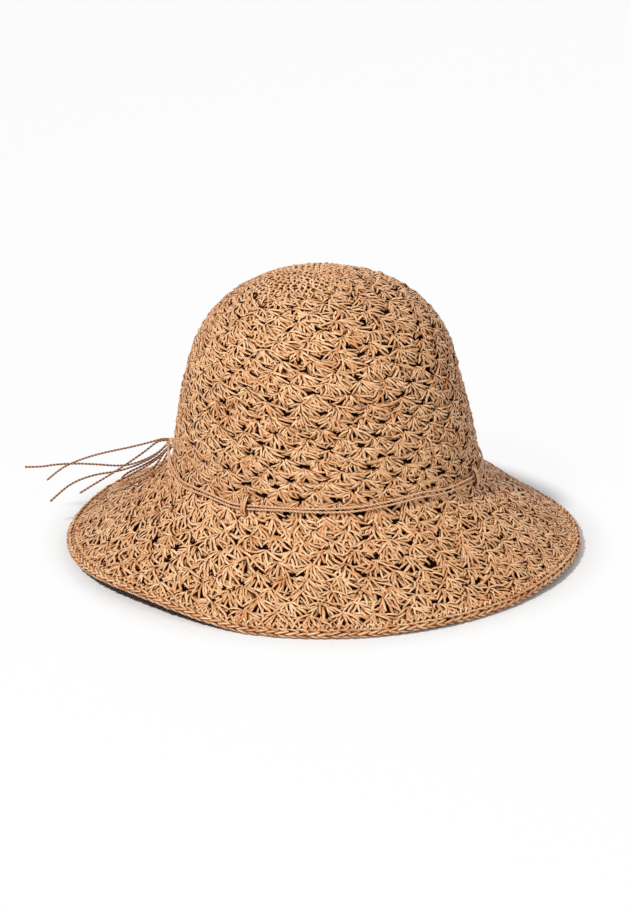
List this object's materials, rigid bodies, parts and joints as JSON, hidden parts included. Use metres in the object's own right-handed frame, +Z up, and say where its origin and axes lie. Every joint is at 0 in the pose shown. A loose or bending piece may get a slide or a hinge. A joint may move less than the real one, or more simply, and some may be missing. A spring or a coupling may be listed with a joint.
{
  "type": "straw sun hat",
  "caption": "Crocheted straw sun hat with a rounded crown, a sloping brim, a ribbon sweatband and a thin doubled cord tied in a half bow.",
  "frame": {"origin": "middle of the rim, on the surface that the hat rests on", "axes": "+Z up along the axis of the crown; -Y towards the wearer's front, +X towards the wearer's left, with the tie's knot near -X"},
  "size_m": [0.3555, 0.326, 0.1762],
  "materials": {
    "straw": "matt crocheted paper straw",
    "cord": "matt twisted paper cord",
    "ribbon": "matt woven grosgrain ribbon",
    "thread": "matt sewing thread"
  },
  "bodies": {
    "hat": {"crown_tip": "straw", "crown_side": "straw", "brim": "straw", "brim_border": "straw", "brim_edging": "straw", "belt_loop_front": "straw", "belt_loop_right": "straw", "belt_loop_back": "straw", "sweatband": "ribbon", "sweatband_stitches": "thread"},
    "tie_band": {"band_cord_upper": "cord", "band_cord_lower": "cord"},
    "tie_bow": {"tie_knot": "cord", "tie_tail_long": "cord", "tie_tail_short": "cord", "tie_tail_straight": "cord", "tie_tail_drooping": "cord", "bow_loop_outer": "cord", "bow_loop_inner": "cord"}
  },
  "joints": [
    {"name": "band_turn", "type": "hinge", "parent": "hat", "child": "tie_band", "pos_m": [0, 0, 0.05431], "axis": [0, 0, 1], "range_deg": [-20, 20]},
    {"name": "bow_lift", "type": "hinge", "parent": "tie_band", "child": "tie_bow", "pos_m": [-0.09805, 0.02084, 0.05611], "axis": [0.2079, 0.9781, 0], "range_deg": [0, 55]}
  ]
}
